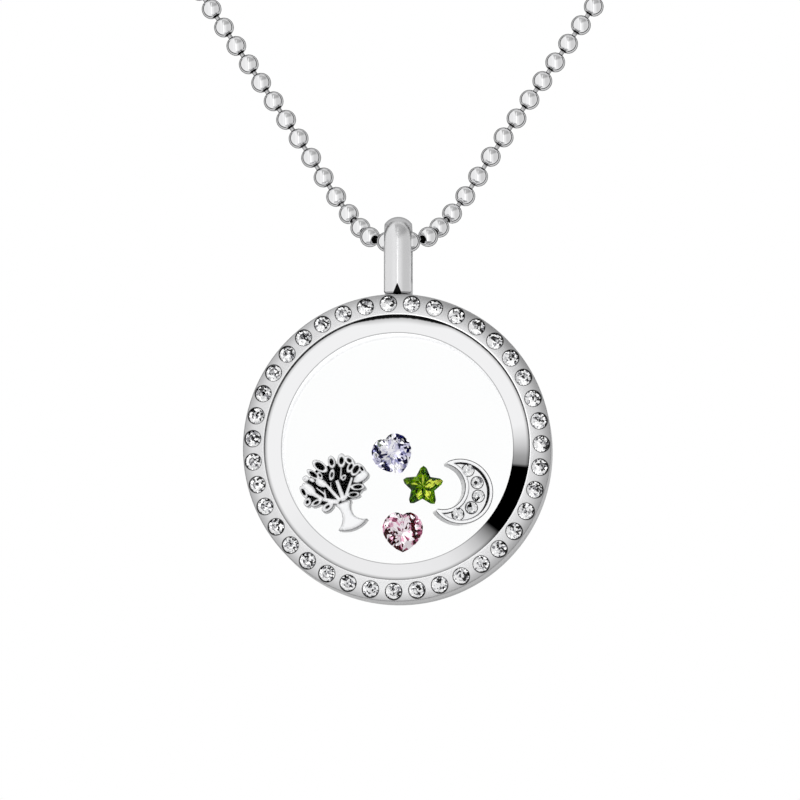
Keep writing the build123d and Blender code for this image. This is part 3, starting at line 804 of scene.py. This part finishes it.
def moon_silver():
    """Bright rim with a painted grey shade outline, a painted dark shadow line round the pale bed, and
    painted grey shade on the flanks.
    """
    s = Shader("moon_silver")
    depth, flank = depth_and_flank(s, "moon_charm")
    fine = s.noise(s.position(), *SILVER_MARKS)
    cloud = s.noise(s.position(), *MOON_CLOUD)
    bed = s.beyond(depth, *BED_DEPTH)
    right, up = moon_place(s)
    round_reach = s.reach(right, up)
    bite_reach = s.reach(s.add(right, MOON_BITE_SHIFT), up)
    outline = s.most(s.beyond(round_reach, *RIM_OUTLINE), s.within(bite_reach, *BITE_OUTLINE))
    line_width = s.span(s.add(right, up), *BED_SHADOW_WIDTH)
    outer_line = s.less(s.less(BED_RADIUS, round_reach), line_width)
    bite_line = s.less(bite_reach, BED_BITE_RADIUS + BED_BITE_SHADOW)
    bed_shadow = s.most(*(s.within(line, *BED_SHADOW_EDGE) for line in (outer_line, bite_line)))
    bed_wall = s.times(
        s.is_under(round_reach, BED_RADIUS + BED_SLACK),
        s.is_over(bite_reach, BED_BITE_RADIUS - BED_SLACK),
    )
    distance = moon_stone_distance(s)
    colour = s.mix(bed, grey(MOON_RIM_LEVEL), s.mix(cloud, *map(grey, BED_LEVELS)))
    # Painted shade: grey outlines and flanks, black along the bed's edge and walls, and dark rings round
    # the stones
    for mask, tone in (
        (outline, grey(RIM_EDGE_SHADE_LEVEL)),
        (s.times(bed_shadow, bed), grey(BED_SHADOW_LEVEL)),
        (flank, s.mix(bed_wall, grey(MOON_FLANK_SHADE_LEVEL), grey(BED_SHADOW_LEVEL))),
        (s.times(s.within(distance, *MOON_SEAT_RING), bed), grey(MOON_SEAT_SHADE_LEVEL)),
        (s.within(distance, *MOON_SEAT), grey(MOON_SEAT_LEVEL)),
    ):
        colour = s.mix(mask, colour, tone)
    s.set(
        Base_Color=colour,
        Metallic=1.0,
        Roughness=s.span(fine, *NOISE_MIDDLE, *MOON_ROUGH),
        Normal=rounded_bump(s, fine, MOON_BUMP, s.rounded(MOON_EDGE_RADIUS)),
    )
    return s.material


def dress(material, *names):
    """Gives pieces of the CAD a material."""
    for name in names:
        data = nodes[name].data
        data.materials.clear()
        data.materials.append(material)


def new_piece(name, bm, material, body):
    """A smooth piece that rides on one of the CAD's bodies."""
    mesh = bpy.data.meshes.new(name)
    bm.to_mesh(mesh)
    bm.free()
    mesh.materials.append(material)
    mesh.shade_smooth()
    piece = bpy.data.objects.new(name, mesh)
    bpy.context.scene.collection.objects.link(piece)
    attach(piece, body)
    return piece


# Chain: smooth balls and rods where the CAD's beads lie
WELD = 1e-6
NAPE_Y = -0.02
BEAD_RADIUS = 0.99 * MM
BEAD_SIDES = 24
BEAD_STEPS = 11
BEAD_STEEL = (0.94, (0.02, 0.05), 0.0)
HOLE_RADIUS = 0.42 * MM
HOLE_FLOOR = 0.35
HOLE_FLOOR_SHARE = 0.9
HOLE_MOUTH = 0.96
HOLE_MOUTH_SHARE = 0.92
HOLE_SHADE_STEEL = (0.05, (0.30, 0.45))
ROD_RADIUS = 0.22 * MM
ROD_SIDES = 10
ROD_SINK = BEAD_RADIUS * 0.5
ROD_STEEL = (0.58, (0.12, 0.22), 0.0)
CLASP_BITE = 0.4 * MM
CLASP_STEEL = (0.80, (0.08, 0.16))


def bead_islands():
    """The corners of each of the CAD's beads."""
    bm = bmesh.new()
    bm.from_mesh(nodes["chain_beads"].data)
    bmesh.ops.remove_doubles(bm, verts=bm.verts, dist=WELD)
    bm.verts.ensure_lookup_table()
    seen = set()
    islands = []
    for start in bm.verts:
        if start.index in seen:
            continue
        stack = [start]
        island = []
        seen.add(start.index)
        while stack:
            vert = stack.pop()
            island.append(vert.co.copy())
            for edge in vert.link_edges:
                other = edge.other_vert(vert)
                if other.index not in seen:
                    seen.add(other.index)
                    stack.append(other)
        islands.append(island)
    bm.free()
    return islands


def bead_places():
    """Centres of the CAD's beads in order along the chain, from the right end at the nape."""
    centres = [(Vector(map(min, *island)) + Vector(map(max, *island))) / 2 for island in bead_islands()]
    at_nape = (place for place in centres if place.y > NAPE_Y and place.x > 0)
    ordered = [min(at_nape, key=lambda place: place.x)]
    rest = [place for place in centres if place is not ordered[0]]
    while rest:
        nearest = min(rest, key=lambda place: (place - ordered[-1]).length)
        rest.remove(nearest)
        ordered.append(nearest)
    return ordered


def lathe(bm, profile, sides, matrix, shaded_bands=()):
    """A closed body of revolution about Z from (radius, height) points, placed by a matrix."""
    rings = []
    for radius, height in profile:
        count = sides if radius else 1
        angles = [2 * math.pi * k / sides for k in range(count)]
        corners = [Vector((radius * math.cos(angle), radius * math.sin(angle), height)) for angle in angles]
        rings.append([bm.verts.new(matrix @ corner) for corner in corners])
    for band, (lower, upper) in enumerate(zip(rings, rings[1:])):
        for k in range(sides):
            after = (k + 1) % sides
            corners = [
                lower[k % len(lower)],
                lower[after % len(lower)],
                upper[after % len(upper)],
                upper[k % len(upper)],
            ]
            corners = list(dict.fromkeys(corners))
            if len(corners) > 2:
                bm.faces.new(corners).material_index = int(band in shaded_bands)


def bead_profile():
    """A ball's outline from pole to pole, with a blind hole at each."""
    hole_turn = math.asin(HOLE_RADIUS / BEAD_RADIUS)
    hole_height = BEAD_RADIUS * math.cos(hole_turn)
    hole = [
        (0, hole_height * HOLE_FLOOR),
        (HOLE_RADIUS * HOLE_FLOOR_SHARE, hole_height * HOLE_FLOOR),
        (HOLE_RADIUS * HOLE_MOUTH_SHARE, hole_height * HOLE_MOUTH),
    ]
    turns = [hole_turn + (math.pi - 2 * hole_turn) * i / BEAD_STEPS for i in range(BEAD_STEPS + 1)]
    outside = [(BEAD_RADIUS * math.sin(turn), BEAD_RADIUS * math.cos(turn)) for turn in turns]
    return hole + outside + [(radius, -height) for radius, height in reversed(hole)]


def placed(place, direction):
    """A placement at a point, with Z along a direction."""
    return Matrix.Translation(place) @ direction.to_track_quat("Z", "Y").to_matrix().to_4x4()


def clasp_ends(places):
    """Where the chain's two ends lie inside the clasp."""
    low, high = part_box("clasp")
    half = (high.x - low.x) / 2 - CLASP_BITE
    middle = (low + high) / 2
    return [middle + Vector((math.copysign(half, place.x), 0, 0)) for place in (places[0], places[-1])]


def make_chain():
    """Balls whose holes at the poles are painted dark as shade, on thin rods that end in the clasp."""
    places = bead_places()
    profile = bead_profile()
    # Painted shade: the bands inside the holes get a dark steel
    shaded_bands = (0, 1, len(profile) - 3, len(profile) - 2)
    bead_mesh = bmesh.new()
    for before, place, after in zip([places[0], *places], places, [*places[1:], places[-1]]):
        lathe(bead_mesh, profile, BEAD_SIDES, placed(place, after - before), shaded_bands)
    rod_mesh = bmesh.new()
    first_end, last_end = clasp_ends(places)
    for first, second in zip([first_end, *places], [*places, last_end]):
        run = second - first
        high = run.length - ROD_SINK
        rod = [(0, ROD_SINK), (ROD_RADIUS, ROD_SINK), (ROD_RADIUS, high), (0, high)]
        lathe(rod_mesh, rod, ROD_SIDES, placed(first, run))
    beads = new_piece("ball_chain", bead_mesh, polished_steel("chain_ball_steel", *BEAD_STEEL), "root")
    beads.data.materials.append(polished_steel("bead_hole_shade_steel", *HOLE_SHADE_STEEL))
    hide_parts("chain_beads")
    rods = new_piece("chain_rods", rod_mesh, polished_steel("chain_rod_steel", *ROD_STEEL), "root")
    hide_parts("chain_wire")


# Screw thread
THREAD_RADIUS = 13.55 * MM
THREAD_CREST = 0.06 * MM
THREAD_ROOT = 0.05 * MM
THREAD_HALF_CREST = 0.03 * MM
THREAD_HALF_FOOT = 0.2 * MM
THREAD_PITCH = 0.767 * MM
THREAD_TURNS = 1.5
THREAD_BACK = -111.65 * MM
THREAD_STEPS = 96
THREAD_FADE_STEPS = 12
THREAD_STEEL = (0.78, (0.14, 0.24))


def make_thread():
    """The screw thread's ridge round the back's spigot."""
    bm = bmesh.new()
    count = int(THREAD_STEPS * THREAD_TURNS)
    rings = []
    for i in range(count + 1):
        angle = 2 * math.pi * i / THREAD_STEPS
        fade = min(1.0, i / THREAD_FADE_STEPS, (count - i) / THREAD_FADE_STEPS)
        along = THREAD_BACK - THREAD_PITCH * i / THREAD_STEPS
        root = THREAD_RADIUS - THREAD_ROOT
        crest = THREAD_RADIUS + THREAD_CREST * fade
        profile = (
            (root, THREAD_HALF_FOOT),
            (crest, THREAD_HALF_CREST),
            (crest, -THREAD_HALF_CREST),
            (root, -THREAD_HALF_FOOT),
        )
        rings.append([
            bm.verts.new((radius * math.sin(angle), along + shift, centre.z + radius * math.cos(angle)))
            for radius, shift in profile
        ])
    for first, second in zip(rings, rings[1:]):
        for k in range(len(first)):
            after = (k + 1) % len(first)
            bm.faces.new((first[k], first[after], second[after], second[k]))
    bm.faces.new(rings[0])
    bm.faces.new(rings[-1][::-1])
    bmesh.ops.recalc_face_normals(bm, faces=bm.faces)
    thread = new_piece("spigot_thread", bm, polished_steel("thread_steel", *THREAD_STEEL), "locket")


# Studio that the metal mirrors, where front is one towards the photographer
FRONT_PALE = (-0.20, -0.12)
FRONT_LEVEL = 0.90
DARK_BAND = (-0.48, -0.36)
BACK_LEVEL = 0.74
BAND_LEVELS = (0.80, 0.92, 0.03, 0.60)
IN_FRONT = (-0.05, 0.0)
SECTOR_RIGHT = (0.04, 0.09)
SECTOR_RIGHT_LEAN = 0.35
SECTOR_TOP = (0.06, 0.50)
SECTOR_TOP_LEAN = 0.4
SECTOR_DEPTH = 0.46
LEFT_WINDOW = (-0.60, -0.20, 0.20, 0.0)
SIDE_EDGES = (0.25, 0.70, 0, 0.26)
STRIP = (0.02, 0.04, 1.1, 0.0)
STRIP_FRONT = (0.3, 0.5)

# Dark board that only the mirror-bright cone takes in, as (degrees round the view, level)
BOARD_STOPS = (
    (-5, 1.0), (0, 0.86), (4, 0.68), (9, 0.40), (12.5, 0.30), (13.5, 0.0), (42, 0.0), (43.5, 0.16),
    (46, 0.32), (51, 0.60), (57, 0.79), (66, 0.91), (80, 0.94), (130, 0.94), (150, 1.0),
)
BOARD_LEVEL = 0.92

# Light inside the case: white in front and behind, grey to the sides
CASE_FRONT = (0.30, 0.92, 0.26, 1.0)
CASE_BEHIND = (-0.55, -0.25)

# Broken light for the cut stones
GEM_CELL_SCALE = 1.5
GEM_DARK = (0.40, 0.41, 0.50, 1.10)
GEM_BRIGHT = (0.65, 0.66)
GEM_BRIGHT_LEVEL = 1.9
GEM_LIFT = (0.15, 0.35)

# Counts of the surfaces that a ray has passed, and the level of diffuse light
PANES_STRAIGHT = 4.0
MOST_BOUNCES = 5.5
PASSES_INSIDE = 3.5
PASSES_BARE_STONE = 2.0
PASSES_CASE_STONE = 6.0
DIFFUSE_LEVEL = 0.9


def metal_studio(s, x, z, front):
    """Pale in front, a dark band round the side, grey behind, and a grey sector up to the right."""
    sideways = s.math("ABSOLUTE", x)
    behind = s.span(front, *DARK_BAND, BACK_LEVEL, s.span(z, *BAND_LEVELS), smooth=True)
    pale = s.span(front, *FRONT_PALE, behind, FRONT_LEVEL, smooth=True)
    to_right = s.beyond(s.add(x, s.times(z, SECTOR_RIGHT_LEAN)), *SECTOR_RIGHT, smooth=True)
    to_top = s.beyond(s.less(z, s.times(x, SECTOR_TOP_LEAN)), *SECTOR_TOP, smooth=True)
    in_front = s.beyond(front, *IN_FRONT)
    sector = s.times(to_right, to_top, in_front, SECTOR_DEPTH)
    window = s.times(s.span(x, *LEFT_WINDOW, smooth=True), in_front)
    edges = s.times(s.span(sideways, *SIDE_EDGES, smooth=True), in_front)
    strip = s.times(s.span(sideways, *STRIP), s.beyond(front, *STRIP_FRONT))
    return s.add(s.times(pale, s.inverse(sector), s.inverse(edges)), s.add(strip, window))


def cone_studio(s, x, z):
    """White with one dark board up to the left."""
    around = s.math("ARCTAN2", z, s.times(x, -1.0))
    board = s.ramp(around, *((math.radians(turn), level) for turn, level in BOARD_STOPS))
    return s.times(board, BOARD_LEVEL)


def stone_light(s, direction, bare_stone):
    """Patches of dark, pale and bright light."""
    cell = s.cells(direction, GEM_CELL_SCALE)
    broken = s.span(cell, *GEM_BRIGHT, s.span(cell, *GEM_DARK), GEM_BRIGHT_LEVEL)
    return s.add(broken, s.span(bare_stone, 0, 1, *GEM_LIFT))


def make_world():
    """White for the camera, a pale studio for the metal to mirror, and a broken one for the stones."""
    world = bpy.data.worlds.new("studio")
    bpy.context.scene.world = world
    world.use_nodes = True
    s = Nodes(world.node_tree)
    background = s.tree.nodes["Background"]
    path = s.node("ShaderNodeLightPath").outputs
    direction = s.node("ShaderNodeTexCoord").outputs["Generated"]
    x, y, z = s.split(direction)
    front = s.times(y, -1.0)
    passes = path["Transmission Depth"]
    straight = s.times(s.is_count(passes, PANES_STRAIGHT), s.is_under(path["Ray Depth"], MOST_BOUNCES))
    bare_stone = s.is_count(passes, PASSES_BARE_STONE)
    any_stone = s.add(bare_stone, s.is_count(passes, PASSES_CASE_STONE))
    in_case = s.span(front, *CASE_BEHIND, 1.0, s.span(front, *CASE_FRONT, smooth=True))
    level = s.blend(path["Is Singular Ray"], metal_studio(s, x, z, front), cone_studio(s, x, z))
    for mask, light in (
        (s.is_over(passes, PASSES_INSIDE), in_case),
        (s.times(path["Is Transmission Ray"], any_stone), stone_light(s, direction, bare_stone)),
        (s.most(path["Is Camera Ray"], straight), 1.0),
        (path["Is Diffuse Ray"], DIFFUSE_LEVEL),
    ):
        level = s.blend(mask, level, light)
    s.link(level, background.inputs["Strength"])
    background.inputs["Color"].default_value = WHITE


FLOOR_HALF = 4.0
FLOOR_DROP = 0.35
FLOOR_NOISE = 3.0
FLOOR_LEVELS = (0.90, 0.93)
FLOOR_ROUGH = 0.9


def make_floor():
    """A plain pale floor well below the hanging locket."""
    bm = bmesh.new()
    bmesh.ops.create_grid(bm, x_segments=1, y_segments=1, size=FLOOR_HALF)
    mesh = bpy.data.meshes.new("floor")
    bm.to_mesh(mesh)
    bm.free()
    floor = bpy.data.objects.new("floor", mesh)
    floor.location.z = cad_low.z - FLOOR_DROP
    floor.visible_glossy = False
    bpy.context.scene.collection.objects.link(floor)
    s = Shader("pale_floor")
    colour = s.mix(s.noise(s.position(), FLOOR_NOISE), *map(grey, FLOOR_LEVELS))
    s.set(Base_Color=colour, Roughness=FLOOR_ROUGH)
    mesh.materials.append(s.material)


KEY_POWER = 0.3
KEY_SIZE = 0.5
KEY_LEFT = -0.25
KEY_FRONT = 0.6
KEY_UP = 0.6


def make_lights():
    """One large soft key light above and in front."""
    data = bpy.data.lights.new("key_light", "AREA")
    data.energy = KEY_POWER
    data.size = KEY_SIZE
    light = bpy.data.objects.new("key_light", data)
    light.location = (KEY_LEFT, HANG_PLANE_Y - KEY_FRONT, centre.z + KEY_UP)
    aim = Vector((0, HANG_PLANE_Y, centre.z)) - light.location
    light.rotation_mode = "QUATERNION"
    light.rotation_quaternion = aim.to_track_quat("-Z", "Y")
    light.visible_glossy = False
    bpy.context.scene.collection.objects.link(light)


make_camera()
make_world()
make_floor()
make_lights()

dress(satin_bezel(), "bezel")
dress(case_steel(), "case_back")
dress(polished_steel("clasp_steel", *CLASP_STEEL), "clasp")
dress(window_glass(), "front_glass", "back_glass")
dress(clear_stone(), *stone_names)
dress(moon_stone(), *moon_stone_names)
dress(
    heart_gem("lavender_crystal", "heart_lavender", LAVENDER_TINT_AND_REFLECTIONS, LAVENDER_GLOSS, LAVENDER_SEED),
    "heart_lavender",
)
dress(heart_gem("pink_crystal", "heart_pink", PINK_TINT_AND_REFLECTIONS, PINK_GLOSS, PINK_SEED), "heart_pink")
dress(star_gem(), "star_green")
dress(tree_silver(), "tree_charm")
dress(moon_silver(), "moon_charm")
make_chain()
make_thread()

bpy.context.scene.view_settings.view_transform = "Standard"
